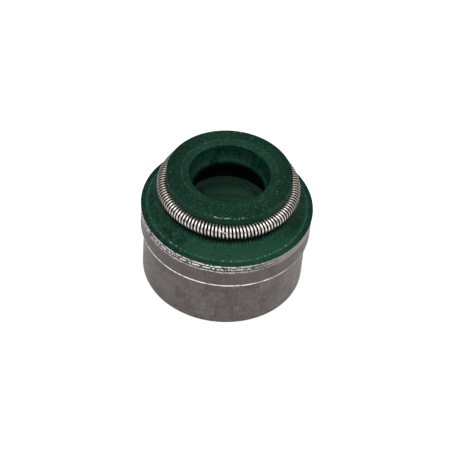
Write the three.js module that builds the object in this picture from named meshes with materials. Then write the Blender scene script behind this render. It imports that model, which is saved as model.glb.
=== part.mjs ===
// A valve stem seal for an engine's cylinder head. A steel case, drawn from sheet, is pressed over the end
// of a valve guide. The rubber moulded round the case's flange grips the guide below and wipes the valve's
// stem above, and a garter spring in the groove round the rubber's head keeps the lip closed on the stem.
// Millimetres, +Z along the stem towards its tip, origin at the centre of the case's base.
import * as THREE from "three";

// Facets round the part. The case and the rubber share them, so that their bonded faces meet.
const ROUND_STEPS = 48;

// What the seal fits: a valve stem, and the end of the guide that the stem slides in.
const STEM_RADIUS = 3.5;
const GUIDE_RADIUS = 5.5;

// Ribbed rubber lining that grips the guide, and the seat that rests on the guide's end.
const LINING_CLEARANCE = 0.12;
const LINING_WALL = 1.06;
const LINING_END = 0.6;
const LINING_LEAD = 0.45;
const RIB_PRESS = 0.15;
const RIB_WIDTH = 0.8;
const RIB_CREST = 0.2;
const RIB_PITCH = 1.4;
const RIB_COUNT = 3;
const SEAT_THICKNESS = 0.35;

// Steel case: a skirt, a step out to a wider collar, and a flange bent in over the collar.
const SHEET = 0.7;
const BASE_ROUNDING = 0.35;
const SKIRT_TOP = 4.95;
const STEP_RISE = 0.3;
const STEP_OUT = 0.37;
const COLLAR_RISE = 2.47;
const FLANGE_BEND = 0.35;
const FLANGE_COVER = 0.95;

// Rubber inside: the mouth narrows to the lip, which is undercut by the chamber below it.
const MOUTH_CLEARANCE = 0.09;
const MOUTH_TAPER = 0.12;
const MOUTH_FOOT_RISE = 0.9;
const LIP_PRESS = 0.35;
const LIP_DROP = 0.22;
const LIP_LAND = 0.05;
const LIP_TURN = 0.3;
const UNDERCUT_DEPTH = 0.75;
const CHAMBER_CLEARANCE = 0.2;
const CHAMBER_TAPER = 0.25;

// Rubber outside: the rim on the flange, the hollow shoulder, and the neck with the spring's groove.
const RIM_THICKNESS = 0.18;
const RIM_WIDTH = 0.6;
const SHOULDER_RISE = 1.3;
const SHOULDER_HOLLOW = 0.22;
const NECK_WALL = 1.48;
const GROOVE_CLEARANCE = 0.03;
const GROOVE_LIP_OUT = 0.33;
const GROOVE_LIP_DEPTH = 0.21;
const GROOVE_FOOT_ANGLE = -70;
const GROOVE_TOP_ANGLE = -250;

// Head above the groove: its rim, the gentle fall of its face, and the flat and funnel round the mouth.
const HEAD_GAP = 0.19;
const HEAD_INSET = 0.15;
const HEAD_RIM = 0.82;
const HEAD_EDGE = 0.08;
const HEAD_FALL = 0.15;
const HEAD_FLAT = 0.5;
const FUNNEL_WIDTH = 0.61;
const FUNNEL_DEPTH = 0.12;

// Garter spring: a close-wound coil whose ends are joined into a ring.
const WIRE_RADIUS = 0.12;
const COIL_RADIUS = 0.56;
const COIL_GAP = 0.055;
const COIL_STEPS = 6;
const WIRE_SIDES = 4;

// The case is built out from the guide, and up from its base.
const boreRadius = GUIDE_RADIUS + LINING_CLEARANCE;
const skirtInside = boreRadius + LINING_WALL;
const skirtOutside = skirtInside + SHEET;
const collarInside = skirtInside + STEP_OUT;
const collarOutside = collarInside + SHEET;
const collarFoot = SKIRT_TOP + STEP_RISE;
const flangeTop = collarFoot + COLLAR_RISE;
const flangeUnderside = flangeTop - SHEET;
const seatHeight = flangeUnderside - SEAT_THICKNESS;

// The rubber above is built out from the stem, and up from the flange.
const chamberRadius = STEM_RADIUS + CHAMBER_CLEARANCE;
const seatRadius = chamberRadius + CHAMBER_TAPER;
const flangeHole = seatRadius + FLANGE_COVER;
const rimTop = flangeTop + RIM_THICKNESS;
const grooveRadius = COIL_RADIUS + GROOVE_CLEARANCE;
const grooveLipHeight = rimTop + SHOULDER_RISE;
const springRing = chamberRadius + NECK_WALL + grooveRadius;
const springHeight = grooveLipHeight + GROOVE_LIP_DEPTH + grooveRadius;
const headUnderside = springHeight + grooveRadius + HEAD_GAP;
const headRadius = springRing - HEAD_INSET;
const headEdge = headUnderside + HEAD_RIM;
const headTop = headEdge + HEAD_FALL;
const mouthRadius = STEM_RADIUS + MOUTH_CLEARANCE;
const lipHeight = springHeight - LIP_DROP;

const STEEL = new THREE.MeshStandardMaterial({ color: 0x77716c, roughness: 0.45, metalness: 0.9 });
const RUBBER = new THREE.MeshStandardMaterial({ color: 0x1d3b30, roughness: 0.6, metalness: 0 });
const SPRING_STEEL = new THREE.MeshStandardMaterial({ color: 0xb9b2a8, roughness: 0.3, metalness: 1 });

const at = (radius, height) => new THREE.Vector2(radius, height);

// Points on an arc in the plane of radius and height, between two angles in degrees.
function arc(radius, height, bend, from, to, steps) {
  return Array.from({ length: steps + 1 }, (_, i) => {
    const angle = THREE.MathUtils.degToRad(THREE.MathUtils.lerp(from, to, i / steps));
    return at(radius + bend * Math.cos(angle), height + bend * Math.sin(angle));
  });
}

// Points on a curve from start to end, drawn towards one control point between them.
function sweep(start, control, end, steps) {
  return new THREE.QuadraticBezierCurve(start, control, end).getPoints(steps);
}

// A solid of revolution about Z from a closed outline, which goes up its outer side and down its inner one.
function turned(name, outline, material) {
  const geometry = new THREE.LatheGeometry([...outline, outline[0].clone()], ROUND_STEPS);
  geometry.rotateX(Math.PI / 2);
  const mesh = new THREE.Mesh(geometry, material);
  mesh.name = name;
  return mesh;
}

// The line where rubber and steel are bonded, from the flange's outer edge in over its top, round the edge
// of its hole, out beneath it and down the inside of the collar and the skirt.
function bondLine() {
  return [
    at(collarOutside - FLANGE_BEND, flangeTop),
    at(flangeHole, flangeTop),
    at(flangeHole, flangeUnderside),
    at(collarInside, flangeUnderside),
    at(collarInside, collarFoot),
    at(skirtInside, SKIRT_TOP),
    at(skirtInside, LINING_END),
  ];
}

function steelCase() {
  const outline = [
    ...bondLine(),
    at(skirtInside, 0),
    ...arc(skirtOutside - BASE_ROUNDING, BASE_ROUNDING, BASE_ROUNDING, -90, 0, 4),
    at(skirtOutside, SKIRT_TOP),
    at(collarOutside, collarFoot),
    ...arc(collarOutside - FLANGE_BEND, flangeTop - FLANGE_BEND, FLANGE_BEND, 0, 90, 4).slice(0, -1),
  ];
  return turned("steel_case", outline, STEEL);
}

// The rubber's outside, from the bond at the flange's edge up to the head's top.
function rubberOutside() {
  const crease = at(collarOutside - RIM_WIDTH, rimTop);
  const grooveLip = at(springRing + GROOVE_LIP_OUT, grooveLipHeight);
  const hollow = crease.clone().lerp(grooveLip, 0.5).sub(at(SHOULDER_HOLLOW, SHOULDER_HOLLOW));
  return [
    at(collarOutside, flangeTop),
    at(collarOutside, rimTop),
    ...sweep(crease, hollow, grooveLip, 5),
    ...arc(springRing, springHeight, grooveRadius, GROOVE_FOOT_ANGLE, GROOVE_TOP_ANGLE, 9),
    at(headRadius, headUnderside),
    at(headRadius, headEdge - HEAD_EDGE),
    at(headRadius - HEAD_EDGE, headEdge),
  ];
}

// The rubber's inside round the stem, from the head's flat down to the seat.
function rubberMouth() {
  const funnelRadius = mouthRadius + FUNNEL_WIDTH;
  const mouthFoot = at(mouthRadius - MOUTH_TAPER, lipHeight + MOUTH_FOOT_RISE);
  const lip = at(STEM_RADIUS - LIP_PRESS, lipHeight);
  const lipFoot = at(lip.x, lip.y - LIP_LAND);
  const chamberTop = at(chamberRadius, lipHeight - UNDERCUT_DEPTH);
  return [
    at(funnelRadius + HEAD_FLAT, headTop),
    at(funnelRadius, headTop),
    at(mouthRadius, headTop - FUNNEL_DEPTH),
    ...sweep(mouthFoot, at(mouthFoot.x, lip.y + LIP_TURN), lip, 3),
    ...sweep(lipFoot, at(lipFoot.x, chamberTop.y + LIP_TURN), chamberTop, 3),
    at(seatRadius, seatHeight),
  ];
}

// The rubber's inside round the guide, from the seat down past the ribs to the lining's end.
function rubberLining() {
  const ribCrest = GUIDE_RADIUS - RIB_PRESS;
  const ribs = Array.from({ length: RIB_COUNT }, (_, i) => {
    const middle = seatHeight - RIB_PITCH * (i + 1);
    return [
      at(boreRadius, middle + RIB_WIDTH / 2),
      at(ribCrest, middle + RIB_CREST / 2),
      at(ribCrest, middle - RIB_CREST / 2),
      at(boreRadius, middle - RIB_WIDTH / 2),
    ];
  });
  return [
    at(boreRadius, seatHeight),
    ...ribs.flat(),
    at(boreRadius, LINING_END + LINING_LEAD),
    at(boreRadius + LINING_LEAD, LINING_END),
  ];
}

function rubberSeal() {
  const outline = [...rubberOutside(), ...rubberMouth(), ...rubberLining(), ...bondLine().reverse()];
  return turned("rubber_seal", outline, RUBBER);
}

// The coiled wire's centre line: a helix wound round the groove's ring, closed on itself.
class CoiledRing extends THREE.Curve {
  constructor(ringRadius, coilRadius, coils) {
    super();
    Object.assign(this, { ringRadius, coilRadius, coils });
  }
  getPoint(t, target = new THREE.Vector3()) {
    const round = 2 * Math.PI * t;
    const turn = round * this.coils;
    const out = this.ringRadius + this.coilRadius * Math.cos(turn);
    return target.set(out * Math.cos(round), out * Math.sin(round), this.coilRadius * Math.sin(turn));
  }
  getPointAt(t, target) {
    return this.getPoint(t, target);
  }
  getTangentAt(t, target) {
    return this.getTangent(t, target);
  }
}

function garterSpring() {
  const coils = Math.round((2 * Math.PI * springRing) / (2 * WIRE_RADIUS + COIL_GAP));
  const path = new CoiledRing(springRing, COIL_RADIUS - WIRE_RADIUS, coils);
  const wire = new THREE.TubeGeometry(path, coils * COIL_STEPS, WIRE_RADIUS, WIRE_SIDES, true);
  const mesh = new THREE.Mesh(wire, SPRING_STEEL);
  mesh.name = "garter_spring";
  mesh.position.z = springHeight;
  return mesh;
}

const group = new THREE.Group();
group.add(steelCase(), rubberSeal(), garterSpring());

export default group;
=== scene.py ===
"""A valve stem seal: a drawn steel case, a dark green rubber moulding bonded to it, and a garter spring."""
import math

import bpy
from mathutils import Matrix, Vector, noise


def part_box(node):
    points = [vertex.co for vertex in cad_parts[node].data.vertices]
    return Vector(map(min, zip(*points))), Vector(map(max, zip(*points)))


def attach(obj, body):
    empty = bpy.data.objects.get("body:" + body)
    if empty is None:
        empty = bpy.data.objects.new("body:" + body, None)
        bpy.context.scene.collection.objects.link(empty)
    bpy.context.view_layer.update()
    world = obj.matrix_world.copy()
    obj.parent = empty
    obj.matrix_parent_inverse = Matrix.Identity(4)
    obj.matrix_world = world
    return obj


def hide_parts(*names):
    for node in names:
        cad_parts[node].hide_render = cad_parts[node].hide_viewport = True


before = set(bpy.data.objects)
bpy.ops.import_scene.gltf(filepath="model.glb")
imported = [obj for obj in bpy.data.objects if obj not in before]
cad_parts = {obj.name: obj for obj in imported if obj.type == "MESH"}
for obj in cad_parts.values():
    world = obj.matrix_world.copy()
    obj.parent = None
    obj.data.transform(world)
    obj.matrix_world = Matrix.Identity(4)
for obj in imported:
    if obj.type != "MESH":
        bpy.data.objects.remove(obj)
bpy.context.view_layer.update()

# Camera: a long lens looks down into the mouth of the standing seal, leaning a little to one side.
# It aims at a point on the seal's axis and is shifted to place the seal as the picture frames it.
MM = 0.001
CAMERA_AIM = Vector((0, 0, 5.4545 * MM))
CAMERA_DISTANCE = 136.4 * MM
CAMERA_ELEVATION = math.radians(45.6)
CAMERA_ROLL = math.radians(4.9)
CAMERA_LENS = 117.9
CAMERA_SHIFT = (0.0076, -0.0155)
CAMERA_SENSOR = 36
CAMERA_SEES = (10 * MM, 5.0)

scene = bpy.context.scene
scene.view_settings.view_transform = "Standard"
back = Vector((0, -math.cos(CAMERA_ELEVATION), math.sin(CAMERA_ELEVATION)))
level_up = Vector((0, math.sin(CAMERA_ELEVATION), math.cos(CAMERA_ELEVATION)))
right = math.cos(CAMERA_ROLL) * Vector((1, 0, 0)) + math.sin(CAMERA_ROLL) * level_up
up = back.cross(right)
lens = bpy.data.cameras.new("camera")
lens.sensor_width = CAMERA_SENSOR
lens.lens = CAMERA_LENS
lens.shift_x, lens.shift_y = CAMERA_SHIFT
lens.clip_start, lens.clip_end = CAMERA_SEES
camera = bpy.data.objects.new("camera", lens)
camera.matrix_world = Matrix.Translation(CAMERA_AIM + CAMERA_DISTANCE * back) @ Matrix(
    (right, up, back)
).transposed().to_4x4()
scene.collection.objects.link(camera)
scene.camera = camera


# Rubber seal: one compression moulding of dark green fluoro rubber, bonded over the case's flange and down
# inside its wall. Its head carries the mouth and the lip round the stem, a neck below the head holds the
# spring's groove, and its lining grips the valve guide with three ribs.
RUBBER_STEPS = 320

case_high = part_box("steel_case")[1]
seal_low, seal_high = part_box("rubber_seal")
SEAL_RADIUS = case_high.x
FLANGE_TOP = case_high.z
HEAD_TOP = seal_high.z
LINING_END = seal_low.z
SHEET = 0.7 * MM
FLANGE_HOLE = 4.9 * MM
COLLAR_INSIDE = 7.05 * MM
COLLAR_FOOT = 5.25 * MM
SKIRT_INSIDE = 6.68 * MM
SKIRT_TOP = 4.95 * MM
CURL_EDGE = (SEAL_RADIUS - 0.09 * MM, 7.78 * MM)
CURL_TOP = (7.56 * MM, 7.8 * MM)
CURL_INSIDE = (7.42 * MM, 7.78 * MM)
CURL_FOOT_RADIUS = 7.3 * MM
BORE_RADIUS = 5.62 * MM
RIB_CREST = 5.46 * MM
RIB_WIDTH = 1.2 * MM
RIB_PITCH = 1.4 * MM
RIB_COUNT = 3
LINING_LEAD = 0.45 * MM
SEAT_HEIGHT = FLANGE_TOP - 1.05 * MM
CHAMBER_RADIUS = 3.7 * MM
CHAMBER_FOOT_RADIUS = 3.95 * MM
CHAMBER_TOP = 9.03 * MM
LIP_RADIUS = 3.15 * MM
LIP_HEIGHT = 9.755 * MM
LIP_LAND = 0.05 * MM
LIP_TURN = 0.3 * MM
MOUTH_RADIUS = 3.63 * MM
MOUTH_FOOT = (3.47 * MM, 10.68 * MM)
FUNNEL_RADIUS = 4.27 * MM
FUNNEL_DEPTH = 0.12 * MM
HEAD_FLAT_RADIUS = 4.7 * MM
HEAD_RADIUS = 5.62 * MM
HEAD_EDGE_HEIGHT = HEAD_TOP - 0.15 * MM
HEAD_UNDERSIDE = (5.6 * MM, 10.88 * MM)
GROOVE_LIP = (6.1 * MM, 9.2 * MM)
RIM_TOP = FLANGE_TOP + 0.2 * MM
RIM_FALL = 0.03 * MM
RIM_INSET = 0.02 * MM
BEAD_RADIUS = SEAL_RADIUS - 0.55 * MM
BEAD_RISE = 0.07 * MM
BEAD_HALF_WIDTH = 0.1 * MM
CREASE_RISE = 0.05 * MM
SHOULDER_HOLLOW = 0.2 * MM
SPRING_RING = 5.77 * MM
SPRING_HEIGHT = 10.14 * MM
GROOVE_RADIUS = 0.62 * MM
GROOVE_ANGLES = (-70, -250)
COIL_PITCH = 0.295 * MM
FLASH_WAVER = 0.02 * MM
FLASH_GRAIN = 2.0
CORNER_ROUNDING = 0.05 * MM
LONGEST_SIDE = 0.25 * MM
CORNER_SHARE = 0.45
SHALLOW_CORNER = math.radians(20)


def arc(centre, radius, start, end, steps):
    """Points on an arc in the plane of radius and height, between two angles in degrees."""
    angles = [math.radians(start + (end - start) * i / steps) for i in range(steps + 1)]
    return [(centre[0] + radius * math.cos(a), centre[1] + radius * math.sin(a)) for a in angles]


def sweep(start, control, end, steps):
    """Points on a curve from start to end, drawn towards a control point."""
    points = []
    for i in range(steps + 1):
        t = i / steps
        weights = ((1 - t) ** 2, 2 * t * (1 - t), t**2)
        points.append(tuple(sum(w * p[k] for w, p in zip(weights, (start, control, end))) for k in (0, 1)))
    return points


def rounded(outline, radius, steps=3):
    """A closed outline with each of its sharp corners rounded off, by less where the sides are short."""
    points = []
    for i, here in enumerate(outline):
        before = Vector(outline[i - 1])
        corner = Vector(here)
        after = Vector(outline[(i + 1) % len(outline)])
        if (corner - before).angle(after - corner) < SHALLOW_CORNER:
            points.append(here)
            continue
        room = CORNER_SHARE * min((corner - before).length, (after - corner).length)
        reach = min(radius, room)
        first = corner.lerp(before, reach / (corner - before).length)
        last = corner.lerp(after, reach / (after - corner).length)
        points += sweep(tuple(first), here, tuple(last), steps)
    return points


def spaced(outline, longest):
    """A closed outline with points added, so that no side is longer than asked for at its height."""
    points = []
    for here, after in zip(outline, outline[1:] + outline[:1]):
        parts = max(1, math.ceil(math.dist(here, after) / longest(here, after)))
        points += [tuple(Vector(here).lerp(Vector(after), i / parts)) for i in range(parts)]
    return points


def turned(name, outline, steps, waver):
    """A piece turned about Z from a closed outline. waver moves each point a little, given its angle."""
    vertices = []
    for step in range(steps):
        angle = 2 * math.pi * step / steps
        for point in outline:
            radius, height = waver(*point, angle)
            vertices.append((radius * math.cos(angle), radius * math.sin(angle), height))
    count = len(outline)
    faces = []
    for step in range(steps):
        here = step * count
        there = (step + 1) % steps * count
        for i in range(count):
            j = (i + 1) % count
            faces.append((here + i, there + i, there + j, here + j))
    mesh = bpy.data.meshes.new(name)
    mesh.from_pydata(vertices, [], faces)
    mesh.shade_smooth()
    piece = bpy.data.objects.new(name, mesh)
    scene.collection.objects.link(piece)
    return piece


def unevenness(radius, height, angle, around, upright):
    """A smooth random value from -1 to 1 for a point of a turned piece, given its grain per millimetre."""
    place = Vector((math.cos(angle), math.sin(angle), 0)) * radius / MM * around
    place.z = height / MM * upright
    return noise.noise(place)


bond_line = [
    CURL_EDGE,
    CURL_TOP,
    CURL_INSIDE,
    (CURL_FOOT_RADIUS, FLANGE_TOP),
    (FLANGE_HOLE, FLANGE_TOP),
    (FLANGE_HOLE, FLANGE_TOP - SHEET),
    (COLLAR_INSIDE, FLANGE_TOP - SHEET),
    (COLLAR_INSIDE, COLLAR_FOOT),
    (SKIRT_INSIDE, SKIRT_TOP),
    (SKIRT_INSIDE, LINING_END),
]
ribs = []
for i in range(RIB_COUNT):
    middle = SEAT_HEIGHT - RIB_PITCH * (i + 1)
    ribs += sweep(
        (BORE_RADIUS, middle + RIB_WIDTH / 2),
        (2 * RIB_CREST - BORE_RADIUS, middle),
        (BORE_RADIUS, middle - RIB_WIDTH / 2),
        steps=8,
    )
crease = (BEAD_RADIUS - BEAD_HALF_WIDTH, RIM_TOP + CREASE_RISE)
shoulder_hollow = tuple((crease[k] + GROOVE_LIP[k]) / 2 - SHOULDER_HOLLOW for k in (0, 1))
rubber_outline = [
    (SEAL_RADIUS - RIM_INSET, CURL_TOP[1]),
    (SEAL_RADIUS, RIM_TOP - RIM_FALL),
    (BEAD_RADIUS + BEAD_HALF_WIDTH, RIM_TOP),
    (BEAD_RADIUS, RIM_TOP + BEAD_RISE),
    *sweep(crease, shoulder_hollow, GROOVE_LIP, steps=14),
    *arc((SPRING_RING, SPRING_HEIGHT), GROOVE_RADIUS, *GROOVE_ANGLES, steps=24),
    HEAD_UNDERSIDE,
    (HEAD_RADIUS, HEAD_EDGE_HEIGHT),
    (HEAD_FLAT_RADIUS, HEAD_TOP),
    (FUNNEL_RADIUS, HEAD_TOP),
    (MOUTH_RADIUS, HEAD_TOP - FUNNEL_DEPTH),
    *sweep(MOUTH_FOOT, (MOUTH_FOOT[0], LIP_HEIGHT + LIP_TURN), (LIP_RADIUS, LIP_HEIGHT), steps=8),
    *sweep(
        (LIP_RADIUS, LIP_HEIGHT - LIP_LAND),
        (LIP_RADIUS, CHAMBER_TOP + LIP_TURN),
        (CHAMBER_RADIUS, CHAMBER_TOP),
        steps=6,
    ),
    (CHAMBER_FOOT_RADIUS, SEAT_HEIGHT),
    (BORE_RADIUS, SEAT_HEIGHT),
    *ribs,
    (BORE_RADIUS, LINING_END + LINING_LEAD),
    (BORE_RADIUS + LINING_LEAD, LINING_END),
    *reversed(bond_line),
]


def rubber_flash(radius, height, angle):
    """The moulding's slightly ragged edge, where the mould closed on the case."""
    if radius < BEAD_RADIUS or height < CURL_TOP[1] - RIM_INSET / 2:
        return radius, height
    return radius, height + FLASH_WAVER * unevenness(radius, height, angle, FLASH_GRAIN, 0)


rubber_outline = spaced(rounded(rubber_outline, CORNER_ROUNDING), lambda here, after: LONGEST_SIDE)
rubber = turned("rubber_moulding", rubber_outline, RUBBER_STEPS, rubber_flash)


class Finish:
    """A material built up in layers of colour. Its places and sizes are in millimetres."""

    def __init__(self, name):
        self.material = bpy.data.materials.new(name)
        self.material.use_nodes = True
        self.tree = self.material.node_tree
        self.surface = self.tree.nodes["Principled BSDF"]
        place = self.add("ShaderNodeTexCoord").outputs["Object"]
        self.place = self.add("ShaderNodeVectorMath", {0: place, 3: 1 / MM}, operation="SCALE").outputs[0]
        split = self.add("ShaderNodeSeparateXYZ", {0: self.place})
        self.sideways = split.outputs["X"]
        self.backward = split.outputs["Y"]
        self.height = split.outputs["Z"]
        out = self.sum("POWER", self.sideways, 2)
        across = self.sum("POWER", self.backward, 2)
        self.radius = self.sum("SQRT", self.sum("ADD", out, across))
        self.angle = self.sum("ARCTAN2", self.backward, self.sideways)

    def add(self, kind, inputs=None, **settings):
        """A new node, with its settings made and its inputs fed."""
        node = self.tree.nodes.new(kind)
        for name, value in settings.items():
            setattr(node, name, value)
        for name, value in (inputs or {}).items():
            self.feed(node.inputs[name], value)
        return node

    def feed(self, socket, value):
        """Gives an input a value of its own, or what another node puts out."""
        if isinstance(value, bpy.types.NodeSocket):
            self.tree.links.new(value, socket)
        else:
            socket.default_value = value

    def sum(self, operation, first, second=0.0, third=0.0):
        """The result of one operation on up to three values."""
        return self.add("ShaderNodeMath", {0: first, 1: second, 2: third}, operation=operation).outputs[0]

    def both(self, *shares):
        """The product of one or more shares."""
        result = shares[0]
        for share in shares[1:]:
            result = self.sum("MULTIPLY", result, share)
        return result

    def scaled(self, share, least, most):
        """A share of 0 to 1 turned into a value between two others."""
        return self.sum("MULTIPLY_ADD", share, most - least, least)

    def grain(self, across, upright=None, detail=2.0, rough=0.5):
        """A random pattern, given its grain per millimetre round the seal and up it."""
        scales = (across, across, upright or across)
        stretch = self.add("ShaderNodeVectorMath", {0: self.place, 1: scales}, operation="MULTIPLY")
        inputs = {"Vector": stretch.outputs[0], "Scale": 1.0, "Detail": detail, "Roughness": rough}
        return self.add("ShaderNodeTexNoise", inputs).outputs["Fac"]

    def rise(self, value, low, high):
        """0 where the value is at low, 1 where it is at high, which may be the smaller of the two."""
        inputs = {"Value": value, "From Min": low, "From Max": high}
        return self.add("ShaderNodeMapRange", inputs, interpolation_type="SMOOTHSTEP").outputs["Result"]

    def band(self, value, low, high, soft):
        """1 between low and high, with soft edges outside them."""
        return self.both(self.rise(value, low - soft, low), self.rise(value, high + soft, high))

    def start(self, share, first, second):
        """The lowest layer, a mixture of two colours."""
        mix = self.add("ShaderNodeMix", {0: share, 6: first, 7: second}, data_type="RGBA")
        self.colour = mix.outputs[2]

    def tint(self, colour, *shares):
        """Lays a colour over the layers before it, by the product of its shares."""
        self.start(self.both(*shares), self.colour, colour)

    def bump(self, height, depth, under=None):
        """Relief of a depth in metres, laid over the relief under it."""
        inputs = {"Height": height, "Distance": depth}
        if under:
            inputs["Normal"] = under
        return self.add("ShaderNodeBump", inputs).outputs["Normal"]

    def finished(self, **surface):
        """Gives the surface its values, under their names on the shader, and returns the material."""
        for name, value in surface.items():
            self.feed(self.surface.inputs[name.replace("_", " ").title().replace("Ior", "IOR")], value)
        return self.material


coils = round(2 * math.pi * SPRING_RING / COIL_PITCH)

GREEN_DEEP = (0.0028, 0.0180, 0.0105, 1)
GREEN = (0.0062, 0.0335, 0.0208, 1)
GREEN_PALE = (0.0165, 0.0690, 0.0450, 1)
GREEN_WEAR_AND_HIGHLIGHT = (0.060, 0.150, 0.115, 1)
GREEN_LIT_LINING = (0.070, 0.200, 0.142, 1)
GREEN_PAINTED_SHADE = (0.0010, 0.0035, 0.0022, 1)
DUST = (0.30, 0.42, 0.36, 1)
GLINT = (0.52, 0.70, 0.62, 1)

# Where the rubber's look changes, in millimetres across, back or up, or out from the axis.
FRONT_LIT = (-2.5, -6.0)
HEAD_SIDE_SHADE = (2.6, 4.8)
RIGHT_PAINTED_SHADE = (3.8, 6.2)
LEFT_BLOTS = (-2.0, -4.5)
LEFT_UNLIT = (-4.5, -2.0)
BACK_PAINTED_LIGHT = (0.0, 3.0)
LINING_LIGHT = (7.9, 7.2)
LINING_LIT_TOP = (6.9, 6.5)
LINING_LIT_FOOT = (1.5, 4.0)
LINING_LIT_WIDTH = (3.3, 1.8)
CHAMBER_SHADE_FOOT = (7.5, 7.6)
CHAMBER_SHADE_EDGE = (4.4, 4.2)
GLINTS_ACROSS = (-1.3, 1.6)
GLINTS_FRONT = (-2.0, -3.0)
GROOVE_SHADE_TOP = 10.5
GROOVE_SHADE_RADII = (5.0, 6.2)
PITTED_ACROSS = (4.25, 4.55)
PITTED_BACK = (-2.2, 0.5)

RUBBER_GRAIN_DEPTH = 0.010 * MM
RUBBER_WAVE_DEPTH = 0.03 * MM
RUBBER_SPECULAR = 0.035

skin = Finish("green_rubber")
radius = skin.radius
height = skin.height
bead_radius = BEAD_RADIUS / MM
mouth_radius = MOUTH_RADIUS / MM
funnel_radius = FUNNEL_RADIUS / MM
head_radius = HEAD_RADIUS / MM
bore_radius = BORE_RADIUS / MM
rim_top = RIM_TOP / MM
groove_lip_radius = GROOVE_LIP[0] / MM
groove_lip = GROOVE_LIP[1] / MM
lip_height = LIP_HEIGHT / MM
head_underside = HEAD_UNDERSIDE[1] / MM
head_top = HEAD_TOP / MM

# The rubber's own mottling, and painted shade on both sides of the head and all down the right side.
skin.start(skin.rise(skin.grain(0.7, detail=5.0, rough=0.6), 0.3, 0.66), GREEN_DEEP, GREEN)
fine_mottle = skin.grain(4.5, detail=4.0, rough=0.75)
skin.tint(GREEN_PALE, skin.rise(fine_mottle, 0.5, 0.62), 0.8)
skin.tint(GREEN_DEEP, skin.rise(fine_mottle, 0.48, 0.36), 0.75)
shade_either_side = skin.rise(skin.sum("ABSOLUTE", skin.sideways), *HEAD_SIDE_SHADE)
painted_head_side_shade = skin.both(shade_either_side, skin.rise(height, head_underside - 0.18, head_underside + 0.02))
skin.tint(GREEN_DEEP, skin.sum("MAXIMUM", painted_head_side_shade, skin.rise(skin.sideways, *RIGHT_PAINTED_SHADE)), 0.45)

# Scuffs and dull blots on the shoulder, with painted light on its front, and a painted soft highlight along
# the bead with a darker rim below it.
on_shoulder = skin.both(
    skin.band(height, rim_top - 0.12, groove_lip, 0.1),
    skin.rise(radius, groove_lip_radius, groove_lip_radius + 0.2),
)
front = skin.rise(skin.backward, *FRONT_LIT)
scuffs = skin.rise(skin.grain(1.3, detail=5.0, rough=0.65), 0.42, 0.66)
# Painted light pales the shoulder at the front, except far to the left, and in patches across the front.
painted_front_light = skin.both(front, skin.rise(skin.sideways, *LEFT_UNLIT), 0.9)
skin.tint(GREEN_PALE, on_shoulder, skin.sum("MULTIPLY_ADD", scuffs, 0.45, painted_front_light))
front_light_patches = skin.rise(skin.grain(3.0, detail=4.0, rough=0.7), 0.48, 0.62)
skin.tint(GREEN_WEAR_AND_HIGHLIGHT, on_shoulder, front, front_light_patches, 0.13)
blots = skin.grain(2.4, detail=4.0, rough=0.65)
to_left = skin.rise(skin.sideways, *LEFT_BLOTS)
skin.tint(GREEN_WEAR_AND_HIGHLIGHT, on_shoulder, to_left, skin.rise(blots, 0.5, 0.62), 0.25)
skin.tint(GREEN_DEEP, on_shoulder, skin.rise(blots, 0.46, 0.36), 0.4)
# A painted soft highlight round the bead.
on_bead = skin.band(height, rim_top - 0.07, rim_top + 0.18, 0.05)
skin.tint(GREEN_PALE, skin.band(radius, bead_radius - 0.25, bead_radius + 0.1, 0.1), on_bead, 0.3)
on_rim = skin.rise(height, rim_top - 0.32, rim_top - 0.22)
skin.tint(GREEN_DEEP, skin.rise(radius, bead_radius + 0.1, bead_radius + 0.2), on_rim, 0.35)

# Painted light pales the funnel round the mouth towards the back, and the mouth's wall in patches lower
# down. The head's side is paler too.
on_face = skin.rise(height, head_top - 0.25, head_top - 0.15)
funnel = skin.band(radius, mouth_radius + 0.04, funnel_radius - 0.04, 0.05)
skin.tint(GREEN_PALE, funnel, on_face, skin.scaled(skin.rise(skin.backward, *BACK_PAINTED_LIGHT), 0.08, 0.33))
on_head_side = skin.band(height, head_underside - 0.08, head_top - 0.2, 0.05)
skin.tint(GREEN_PALE, on_head_side, skin.rise(radius, head_radius - 0.12, head_radius - 0.02), 0.4)
lit_mouth_wall = skin.both(
    skin.band(height, lip_height - 0.055, head_top - 0.2, 0.05),
    skin.rise(radius, mouth_radius + 0.17, mouth_radius + 0.03),
    skin.rise(height, head_top - 0.35, head_top - 1.75),
)
skin.tint(GREEN_PALE, lit_mouth_wall, skin.rise(skin.grain(1.1, detail=3.0), 0.38, 0.56))

# Inside, the lining is paler where the light falls on it, and the chamber under the lip is in deep shade.
in_bore = skin.rise(radius, bore_radius + 0.48, bore_radius + 0.38)
skin.tint(GREEN_LIT_LINING, in_bore, skin.rise(height, *LINING_LIGHT), 0.28)
lit_depth = skin.both(skin.rise(height, *LINING_LIT_TOP), skin.rise(height, *LINING_LIT_FOOT))
lit_width = skin.rise(skin.sum("ABSOLUTE", skin.sideways), *LINING_LIT_WIDTH)
skin.tint(GREEN_LIT_LINING, in_bore, lit_depth, lit_width)
painted_chamber_shade = skin.both(
    skin.rise(height, *CHAMBER_SHADE_FOOT),
    skin.rise(height, lip_height + 0.365, lip_height + 0.005),
    skin.rise(radius, *CHAMBER_SHADE_EDGE),
)
skin.tint(GREEN_PAINTED_SHADE, painted_chamber_shade)

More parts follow.
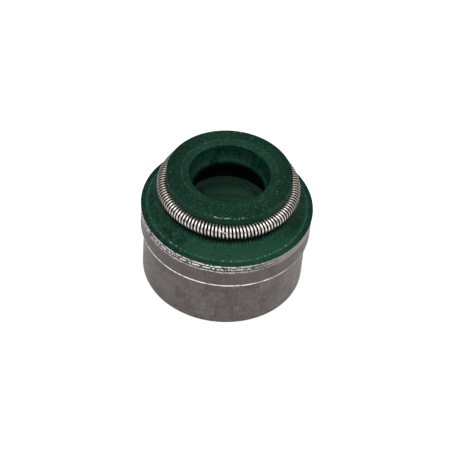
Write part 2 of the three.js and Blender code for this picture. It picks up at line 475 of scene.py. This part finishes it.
# Painted highlights in broken pale lines along the edges: on the bead, the funnel, the mouth and the head.
breaks = skin.rise(skin.grain(3.5), 0.4, 0.62)
bead_line = skin.both(
    skin.band(radius, bead_radius - 0.03, bead_radius + 0.03, 0.05),
    skin.band(height, rim_top - 0.02, rim_top + 0.13, 0.03),
)
skin.tint(GREEN_WEAR_AND_HIGHLIGHT, bead_line, skin.scaled(breaks, 0.1, 0.6))
funnel_line = skin.both(skin.band(radius, funnel_radius - 0.03, funnel_radius + 0.03, 0.04), on_face)
mouth_line = skin.both(skin.band(radius, mouth_radius - 0.03, mouth_radius + 0.03, 0.04), on_face)
head_line = skin.both(
    skin.rise(radius, head_radius - 0.1, head_radius - 0.05),
    skin.band(height, head_top - 0.23, head_top - 0.13, 0.03),
)
edge_lines = skin.sum("MAXIMUM", funnel_line, skin.sum("MAXIMUM", mouth_line, head_line))
skin.tint(GREEN_WEAR_AND_HIGHLIGHT, edge_lines, skin.scaled(breaks, 0.04, 0.29))

# Dust all over, and painted glints along the front edges of the head and the bead.
skin.tint(DUST, skin.rise(skin.grain(7.0, detail=1.0), 0.765, 0.81), 0.8)
head_glints = skin.both(
    head_line,
    skin.band(skin.sideways, *GLINTS_ACROSS, 0.6),
    skin.rise(skin.backward, *GLINTS_FRONT),
)
edge_glints = skin.sum("MAXIMUM", head_glints, skin.both(bead_line, breaks, front))
skin.tint(GLINT, edge_glints, skin.rise(skin.grain(8.0, detail=1.0), 0.57, 0.64), 0.7)

# Painted shade in the groove behind the spring, with a painted shadow of each coil on its lip and painted
# reflections of the coils just below.
coil_pitch_wave = skin.sum("SINE", skin.sum("MULTIPLY", skin.angle, coils))
groove_shade = skin.both(
    skin.band(height, groove_lip - 0.11, GROOVE_SHADE_TOP, 0.02),
    skin.band(radius, *GROOVE_SHADE_RADII, 0.05),
)
all_round = skin.rise(height, groove_lip - 0.01, groove_lip + 0.04)
skin.tint(GREEN_PAINTED_SHADE, groove_shade, skin.sum("MAXIMUM", all_round, skin.rise(coil_pitch_wave, -0.2, 0.4)))
below_lip = skin.both(
    skin.band(radius, groove_lip_radius, groove_lip_radius + 0.2, 0.08),
    skin.band(height, groove_lip - 0.4, groove_lip, 0.05),
)
coil_reflections = skin.both(skin.rise(coil_pitch_wave, 0.8, -0.6), skin.rise(skin.grain(1.5), 0.4, 0.6))
skin.tint(GREEN_WEAR_AND_HIGHLIGHT, below_lip, front, coil_reflections, 0.22)

# A row of small pits in the head's face, at the right of the funnel, with painted shade in their hollows
# and pale specks.
pitted = skin.both(
    skin.band(skin.sideways, *PITTED_ACROSS, 0.08),
    skin.band(skin.backward, *PITTED_BACK, 0.3),
    on_face,
)
pits = skin.grain(6.5, detail=1.0)
skin.tint(GREEN_PAINTED_SHADE, pitted, skin.rise(pits, 0.4, 0.34))
skin.tint(DUST, pitted, skin.rise(pits, 0.64, 0.7))

relief = skin.bump(skin.grain(13.0, detail=3.0), RUBBER_GRAIN_DEPTH)
relief = skin.bump(skin.grain(2.2, detail=3.0), RUBBER_WAVE_DEPTH, relief)
gloss = skin.sum("MAXIMUM", skin.scaled(skin.grain(3.0), 0.36, 0.61), painted_chamber_shade)
rubber.data.materials.append(
    skin.finished(
        base_color=skin.colour, roughness=gloss, specular_ior_level=RUBBER_SPECULAR, normal=relief
    )
)
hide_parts("rubber_seal")
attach(rubber, "root")


# Steel case: a cup drawn from 0.7 mm sheet, left bare and dull. A step leads out to a wider collar, whose
# top is bent in under the rubber. The mould has scuffed that bend in ragged rings, bright partly from
# scuffing and partly from painted highlights.
CASE_STEPS = 420
SKIRT_OUTSIDE = 7.4 * MM
COLLAR_OUTSIDE = 7.7 * MM
BASE_ROUNDING = 0.2 * MM
SCUFF_FOOT = 6.85 * MM
SCUFF_DEPTH = 0.045 * MM
SCUFF_ROWS = (7.7, 7.36, 7.02)
SCUFF_WIDTH = 0.06
SCUFF_HALF_WIDTHS = (0.09, 0.06, 0.05)
SCUFF_SPACING = 0.035 * MM
SCUFF_FADE = (0.15 * MM, 0.05 * MM)
SHEET_WAVE = 0.006 * MM
CASE_LONGEST_SIDE = 0.3 * MM
FOOT_TURN = (0.03 * MM, 0.02 * MM)
FOOT_RISE = 0.04 * MM
BEND_DROP = 0.05 * MM
SHEET_GRAIN = (0.5, 0.5)
SCUFF_GRAIN = (2.5, 0.5)
SCUFF_EVEN = 0.7
SCUFF_RAGGED = 0.6
SCUFF_SUNK = 0.6

case_outline = [
    *bond_line,
    (SKIRT_INSIDE, 0.0),
    *arc((SKIRT_OUTSIDE - BASE_ROUNDING, BASE_ROUNDING), BASE_ROUNDING, start=-90, end=0, steps=6),
    (SKIRT_OUTSIDE, SKIRT_TOP),
    (COLLAR_OUTSIDE - FOOT_TURN[0], COLLAR_FOOT - FOOT_TURN[1]),
    (COLLAR_OUTSIDE, COLLAR_FOOT + FOOT_RISE),
    (COLLAR_OUTSIDE, SCUFF_FOOT),
    (COLLAR_OUTSIDE, FLANGE_TOP - BEND_DROP),
]


def case_scuffs(radius, height, angle):
    """The torn rings round the collar's top, and the slight waves of the drawn sheet below them."""
    inside = radius < COLLAR_OUTSIDE - BASE_ROUNDING and height > COLLAR_FOOT
    if inside or height < BASE_ROUNDING:
        return radius, height
    if height <= SCUFF_FOOT:
        return radius + SHEET_WAVE * unevenness(radius, height, angle, *SHEET_GRAIN), height
    ridge = sum(math.exp(-(((height / MM - row) / SCUFF_WIDTH) ** 2)) for row in SCUFF_ROWS)
    ragged = SCUFF_EVEN + SCUFF_RAGGED * unevenness(radius, height, angle, *SCUFF_GRAIN)
    stands = ridge * ragged - SCUFF_SUNK
    fade_in = (height - SCUFF_FOOT) / SCUFF_FADE[0]
    fade_out = max(0, (CURL_TOP[1] - height) / SCUFF_FADE[1])
    return radius + SCUFF_DEPTH * min(1, fade_in, fade_out) * stands, height


def case_spacing(here, after):
    """Short sides for the scuffed rings, and long ones elsewhere."""
    scuffed = min(here[1], after[1]) >= SCUFF_FOOT and here[0] > COLLAR_INSIDE
    return SCUFF_SPACING if scuffed else CASE_LONGEST_SIDE


case_outline = spaced(rounded(case_outline, CORNER_ROUNDING), case_spacing)
case = turned("drawn_case", case_outline, CASE_STEPS, case_scuffs)

STEEL_DARK = (0.090, 0.076, 0.071, 1)
STEEL_GREY = (0.165, 0.143, 0.135, 1)
STEEL_PALE = (0.32, 0.295, 0.28, 1)
STEEL_BRIGHT = (1.0, 0.98, 0.95, 1)
STEEL_BLACK = (0.012, 0.010, 0.009, 1)

# Where the steel's look changes, in millimetres across or back, and how much the scuffed rings waver.
SCRATCHED = (-4.5, -1.5)
FOOT_LINE_DULL = (6.4, 3.5)
RINGS_FRONT_LEFT_ACROSS = (6.0, 0.0)
RINGS_FRONT_LEFT_BACK = (3.0, -1.0)
RINGS_PALE = (3.0, 6.0)
RING_WAVER = 0.08
RING_EDGE = 0.04

STEEL_GRAIN_DEPTH = 0.006 * MM
SCRAP_DEPTH = 0.03 * MM
STEEL_METALLIC = 0.85

steel = Finish("bare_steel")
height = steel.height
collar_foot = COLLAR_FOOT / MM
scuff_foot = SCUFF_FOOT / MM

# Dull mottled sheet, with fine upright scratches on the skirt, faint hoops, and painted shade darkening the
# collar.
steel.start(steel.rise(steel.grain(0.6, detail=5.0, rough=0.7), 0.3, 0.66), STEEL_DARK, STEEL_GREY)
steel.tint(STEEL_PALE, steel.rise(steel.grain(9.0, 3.0, detail=3.0, rough=0.7), 0.4, 0.75), 0.35)
scratches = steel.rise(steel.grain(6.0, 0.6, detail=2.0), 0.64, 0.71)
on_skirt = steel.rise(height, collar_foot + 0.15, collar_foot - 1.25)
steel.tint(STEEL_PALE, scratches, on_skirt, steel.rise(steel.sideways, *SCRATCHED), 0.8)
steel.tint(STEEL_DARK, steel.rise(steel.grain(0.25, 2.2, detail=3.0), 0.35, 0.7), 0.3)
steel.tint(STEEL_DARK, steel.band(height, collar_foot + 0.2, scuff_foot - 0.05, 0.1), 0.4)

# The collar's foot is a bright broken line, worn bright and partly a painted highlight that fades to the
# right, with the step's painted shade below it.
foot_line = steel.band(height, collar_foot - 0.1, collar_foot + 0.14, 0.03)
foot_breaks = steel.scaled(steel.rise(steel.grain(2.4, detail=3.0), 0.38, 0.52), 0.45, 1.0)
right_fade = steel.scaled(steel.rise(steel.sideways, *FOOT_LINE_DULL), 0.4, 1.0)
steel.tint(STEEL_BRIGHT, foot_line, foot_breaks, right_fade)
steel.tint(STEEL_BLACK, steel.band(height, collar_foot - 0.35, collar_foot - 0.09, 0.04), 0.65)

# The scuffed rings: bright torn ridges, partly painted highlights, with near black between them, both most
# of all at the front and the left.
scuffed = steel.rise(height, scuff_foot, scuff_foot + 0.1)
scraps = steel.grain(3.2, 5.0, detail=2.0)
wavering = steel.sum("ADD", height, steel.scaled(steel.grain(1.2), -RING_WAVER, RING_WAVER))
rows = [
    steel.band(wavering, row - half_width, row + half_width, RING_EDGE)
    for row, half_width in zip(SCUFF_ROWS, SCUFF_HALF_WIDTHS)
]
tears = [
    steel.rise(steel.grain(7.0, 5.0), 0.41, 0.46),
    steel.rise(steel.grain(8.0, 4.0), 0.46, 0.54),
    steel.scaled(steel.rise(steel.grain(6.0, 3.0), 0.4, 0.52), 0.15, 0.55),
]
upper, middle, lower = (steel.both(row, torn) for row, torn in zip(rows, tears))
torn_rings = steel.sum("MAXIMUM", steel.sum("MAXIMUM", upper, middle), lower)
rings_front_left = steel.both(
    steel.scaled(steel.rise(steel.sideways, *RINGS_FRONT_LEFT_ACROSS), 0.2, 1.0),
    steel.scaled(steel.rise(steel.backward, *RINGS_FRONT_LEFT_BACK), 0.4, 1.0),
)
steel.tint(STEEL_BLACK, scuffed, steel.scaled(steel.rise(scraps, 0.58, 0.42), 0.05, 0.65), rings_front_left)
steel.tint(STEEL_PALE, scuffed, steel.rise(steel.sideways, *RINGS_PALE), 0.6)
steel.tint(STEEL_BRIGHT, torn_rings, rings_front_left)

steel_relief = steel.bump(steel.grain(18.0, 9.0, detail=3.0), STEEL_GRAIN_DEPTH)
steel_relief = steel.bump(steel.both(scuffed, scraps), SCRAP_DEPTH, steel_relief)
steel_gloss = steel.scaled(steel.grain(2.0, detail=3.0), 0.32, 0.62)
case.data.materials.append(
    steel.finished(
        base_color=steel.colour, metallic=STEEL_METALLIC, roughness=steel_gloss, normal=steel_relief
    )
)
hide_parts("steel_case")
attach(case, "root")


# Garter spring: bright spring wire, wound close, its tapered end screwed into the other to close the ring.
# It sits in the groove round the neck and squeezes the lip on to the stem.
WIRE_RADIUS = 0.12 * MM
COIL_RADIUS = 0.605 * MM
COIL_STEPS = 30
WIRE_SIDES = 10
NIB_START = math.radians(-95.5)
NIB_TURN = math.radians(7.0)
NIB_STEPS = 16
NIB_RADIUS = 0.075 * MM
NIB_SUNK = 0.02 * MM
NIB_LEAN = (52, 30)
NIB_TAPER = 0.5
NIB_POINT = 0.02

total_steps = coils * COIL_STEPS
wire_line = COIL_RADIUS - WIRE_RADIUS


def wire_ring(round_angle, coil_angle, line_radius, wire_radius):
    """The points round one cross-section of the wire, at an angle round the seal and one round the coil."""
    out = Vector((math.cos(round_angle), math.sin(round_angle), 0))
    along = Vector((-math.sin(round_angle), math.cos(round_angle), 0))
    outward = math.cos(coil_angle) * out + math.sin(coil_angle) * Vector((0, 0, 1))
    centre = SPRING_RING * out + line_radius * outward + Vector((0, 0, SPRING_HEIGHT))
    points = []
    for side in range(WIRE_SIDES):
        angle = 2 * math.pi * side / WIRE_SIDES
        points.append(centre + wire_radius * (math.cos(angle) * outward + math.sin(angle) * along))
    return points


def wire_faces(first, rings, joined):
    """The faces along a wire, between its rings of points. first is the number of its first point."""
    faces = []
    for step in range(rings if joined else rings - 1):
        here = first + step * WIRE_SIDES
        there = first + (step + 1) % rings * WIRE_SIDES
        for side in range(WIRE_SIDES):
            other = (side + 1) % WIRE_SIDES
            faces.append((here + side, there + side, there + other, here + other))
    return faces


spring_vertices = []
for step in range(total_steps):
    spring_vertices += wire_ring(
        2 * math.pi * step / total_steps, -2 * math.pi * step / COIL_STEPS, wire_line, WIRE_RADIUS
    )
spring_faces = wire_faces(0, total_steps, joined=True)

# The nib: the wire's tapered end, which comes out between the coils and lies against them.
nib_first = len(spring_vertices)
for step in range(NIB_STEPS + 1):
    t = step / NIB_STEPS
    thin = math.sqrt(max(0.0, 1 - (2 * t - 1) ** 4)) * (1 - NIB_TAPER * t) + NIB_POINT
    out = Vector((math.cos(NIB_START + NIB_TURN * t), math.sin(NIB_START + NIB_TURN * t), 0))
    along = Vector((-out.y, out.x, 0))
    coil_angle = math.radians(NIB_LEAN[0] + (NIB_LEAN[1] - NIB_LEAN[0]) * t)
    outward = math.cos(coil_angle) * out + math.sin(coil_angle) * Vector((0, 0, 1))
    upward = outward.cross(along)
    centre = SPRING_RING * out + (COIL_RADIUS - NIB_SUNK) * outward + Vector((0, 0, SPRING_HEIGHT))
    for side in range(WIRE_SIDES):
        angle = 2 * math.pi * side / WIRE_SIDES
        ring = math.cos(angle) * outward + math.sin(angle) * upward
        spring_vertices.append(centre + NIB_RADIUS * thin * ring)
spring_faces += wire_faces(nib_first, NIB_STEPS + 1, joined=False)
nib_last = nib_first + NIB_STEPS * WIRE_SIDES
spring_faces.append(tuple(nib_first + side for side in range(WIRE_SIDES)))
spring_faces.append(tuple(nib_last + side for side in reversed(range(WIRE_SIDES))))
spring_mesh = bpy.data.meshes.new("spring_wire")
spring_mesh.from_pydata(spring_vertices, [], spring_faces)
spring_mesh.shade_smooth()
spring = bpy.data.objects.new("spring_wire", spring_mesh)
scene.collection.objects.link(spring)

WIRE_BRIGHT = (0.95, 0.91, 0.84, 1)
WIRE_TARNISH_AND_SHADE = (0.30, 0.25, 0.21, 1)
WIRE_SHADE = (0.010, 0.008, 0.007, 1)
DIMMED_SIDES = (4.3, 6.0)
INNER_SHADE_DEPTH = (0.015, 0.047)
WIRE_GRAIN_DEPTH = 0.003 * MM
WIRE_METALLIC = 0.75
WIRE_ROUGHNESS = 0.35

wire = Finish("spring_steel")
# The wire is tarnished in patches, and painted shade dims it at the seal's left and right.
tarnish = wire.rise(wire.grain(2.2, detail=3.0), 0.45, 0.75)
dimmed_sides = wire.rise(wire.sum("ABSOLUTE", wire.sideways), *DIMMED_SIDES)
wire.start(wire.sum("MAXIMUM", tarnish, wire.both(dimmed_sides, 0.85)), WIRE_BRIGHT, WIRE_TARNISH_AND_SHADE)
# Painted shade darkens the wire all round except along the outside of the coils.
over = wire.sum("SUBTRACT", wire.radius, SPRING_RING / MM)
above = wire.sum("SUBTRACT", wire.height, SPRING_HEIGHT / MM)
from_line = wire.sum("SQRT", wire.sum("ADD", wire.both(over, over), wire.both(above, above)))
coil_radius = COIL_RADIUS / MM
coil_inner_shade = wire.rise(from_line, coil_radius - INNER_SHADE_DEPTH[0], coil_radius - INNER_SHADE_DEPTH[1])
wire.tint(WIRE_SHADE, coil_inner_shade)
wire_relief = wire.bump(wire.grain(25.0), WIRE_GRAIN_DEPTH)
spring.data.materials.append(
    wire.finished(
        base_color=wire.colour, metallic=WIRE_METALLIC, roughness=WIRE_ROUGHNESS, normal=wire_relief
    )
)
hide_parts("garter_spring")
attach(spring, "root")


# Table and light: a plain white table under a broad soft lamp above and before the seal, with weaker ones
# behind it and to its right. A white tent round them lights the seal weakly from all sides. In the seal's
# reflections its roof is the brightest part, and its opening to the front is the dimmest.
TABLE_SIZE = 0.8
TABLE_TOP = -0.01 * MM
TABLE_WHITE = (0.8, 0.8, 0.8, 1)
TABLE_SEEN = 0.55
TABLE_MIRRORED = 0.28
TENT_FILL = 0.3
TENT_SIDES = 0.3
TENT_OPENING = (0.9, 0.985)
TENT_OPENING_DIM = 0.15
TENT_ROOF = (0.3, 0.75)

table_mesh = bpy.data.meshes.new("table")
half = TABLE_SIZE / 2
corners = [(x, y, TABLE_TOP) for x, y in ((-half, -half), (half, -half), (half, half), (-half, half))]
table_mesh.from_pydata(corners, [], [(0, 1, 2, 3)])
table = bpy.data.objects.new("table", table_mesh)
scene.collection.objects.link(table)
cloth = Finish("white_table")
rays = cloth.add("ShaderNodeLightPath")
mirrored_table = cloth.sum("MULTIPLY", rays.outputs["Is Glossy Ray"], TABLE_MIRRORED)
seen = cloth.sum("MULTIPLY_ADD", rays.outputs["Is Camera Ray"], TABLE_SEEN, mirrored_table)
table.data.materials.append(
    cloth.finished(
        base_color=TABLE_WHITE, roughness=1.0, specular_ior_level=0.0,
        emission_color=(1, 1, 1, 1), emission_strength=seen
    )
)

world = bpy.data.worlds.new("tent")
scene.world = world
world.use_nodes = True
tent = world.node_tree


def tent_sum(operation, first, second, third=0.0):
    """The result of one operation on up to three values of the tent's light."""
    node = tent.nodes.new("ShaderNodeMath")
    node.operation = operation
    for socket, value in zip(node.inputs, (first, second, third)):
        if isinstance(value, bpy.types.NodeSocket):
            tent.links.new(value, socket)
        else:
            socket.default_value = value
    return node.outputs[0]


toward = tent.nodes.new("ShaderNodeTexCoord")
facing = tent.nodes.new("ShaderNodeVectorMath")
facing.operation = "DOT_PRODUCT"
facing.inputs[1].default_value = back
tent.links.new(toward.outputs["Generated"], facing.inputs[0])
opening = tent.nodes.new("ShaderNodeMapRange")
opening.interpolation_type = "SMOOTHSTEP"
tent.links.new(facing.outputs["Value"], opening.inputs["Value"])
opening.inputs["From Min"].default_value, opening.inputs["From Max"].default_value = TENT_OPENING
opening.inputs["To Min"].default_value = 1.0
opening.inputs["To Max"].default_value = TENT_OPENING_DIM
tent_rays = tent.nodes.new("ShaderNodeLightPath")
mirrored = tent_sum("MAXIMUM", tent_rays.outputs["Is Glossy Ray"], tent_rays.outputs["Is Transmission Ray"])
skyward = tent.nodes.new("ShaderNodeSeparateXYZ")
tent.links.new(toward.outputs["Generated"], skyward.inputs[0])
roof = tent.nodes.new("ShaderNodeMapRange")
roof.interpolation_type = "SMOOTHSTEP"
tent.links.new(skyward.outputs["Z"], roof.inputs["Value"])
roof.inputs["From Min"].default_value, roof.inputs["From Max"].default_value = TENT_ROOF
roof.inputs["To Min"].default_value = TENT_SIDES
reflected = tent_sum("MULTIPLY", mirrored, opening.outputs["Result"])
reflected = tent_sum("MULTIPLY", reflected, roof.outputs["Result"])
shown = tent_sum("MAXIMUM", reflected, tent_rays.outputs["Is Camera Ray"])
plain = tent_sum("SUBTRACT", 1.0, tent_sum("MAXIMUM", mirrored, tent_rays.outputs["Is Camera Ray"]))
strength = tent_sum("MULTIPLY_ADD", plain, TENT_FILL, shown)
tent.links.new(strength, tent.nodes["Background"].inputs["Strength"])
tent.nodes["Background"].inputs["Color"].default_value = (1, 1, 1, 1)


def lamp(name, place, size, watts):
    """A square soft lamp that faces the seal."""
    light = bpy.data.lights.new(name, "AREA")
    light.size = size
    light.energy = watts
    holder = bpy.data.objects.new(name, light)
    holder.location = place
    holder.rotation_euler = (Vector(place) - CAMERA_AIM).to_track_quat("Z", "Y").to_euler()
    scene.collection.objects.link(holder)


lamp("key", place=(-0.03, -0.14, 0.30), size=0.24, watts=0.66)
lamp("back", place=(0.02, 0.16, 0.27), size=0.2, watts=0.2)
lamp("side", place=(0.28, 0.02, 0.16), size=0.14, watts=0.14)
